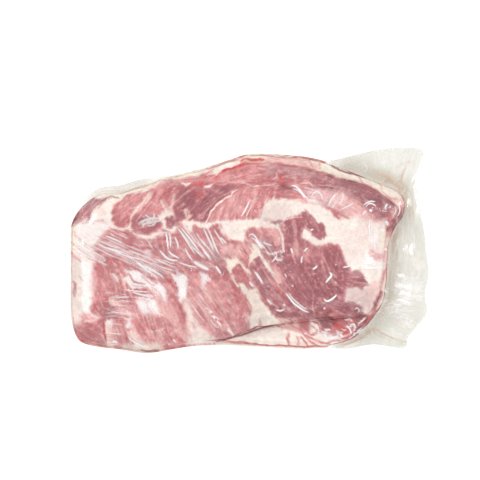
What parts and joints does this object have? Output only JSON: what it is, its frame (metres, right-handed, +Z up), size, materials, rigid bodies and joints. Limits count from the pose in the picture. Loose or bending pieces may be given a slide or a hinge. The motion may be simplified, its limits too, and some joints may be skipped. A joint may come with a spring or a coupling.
{
  "type": "vacuum-packed pork spareribs",
  "caption": "Slab of raw pork spareribs shrunk into a clear vacuum bag, rack on rack, lying flat with the bag's loose end at one side.",
  "frame": {"origin": "middle of the pack's bounding box, on the surface it lies on", "axes": "+X along the racks towards the bag's loose end, +Y across the racks towards the long back edge, +Z up through the thickness"},
  "size_m": [0.39, 0.224, 0.046],
  "materials": {
    "packed_pork": "raw pork under a tight clear film, glossy",
    "raw_pork": "raw lean meat and fat, wet",
    "bag_film": "thin clear film, shrunk on and creased, very glossy"
  },
  "bodies": {
    "root": {"vacuum_packed_spareribs": "packed_pork"}
  },
  "joints": []
}
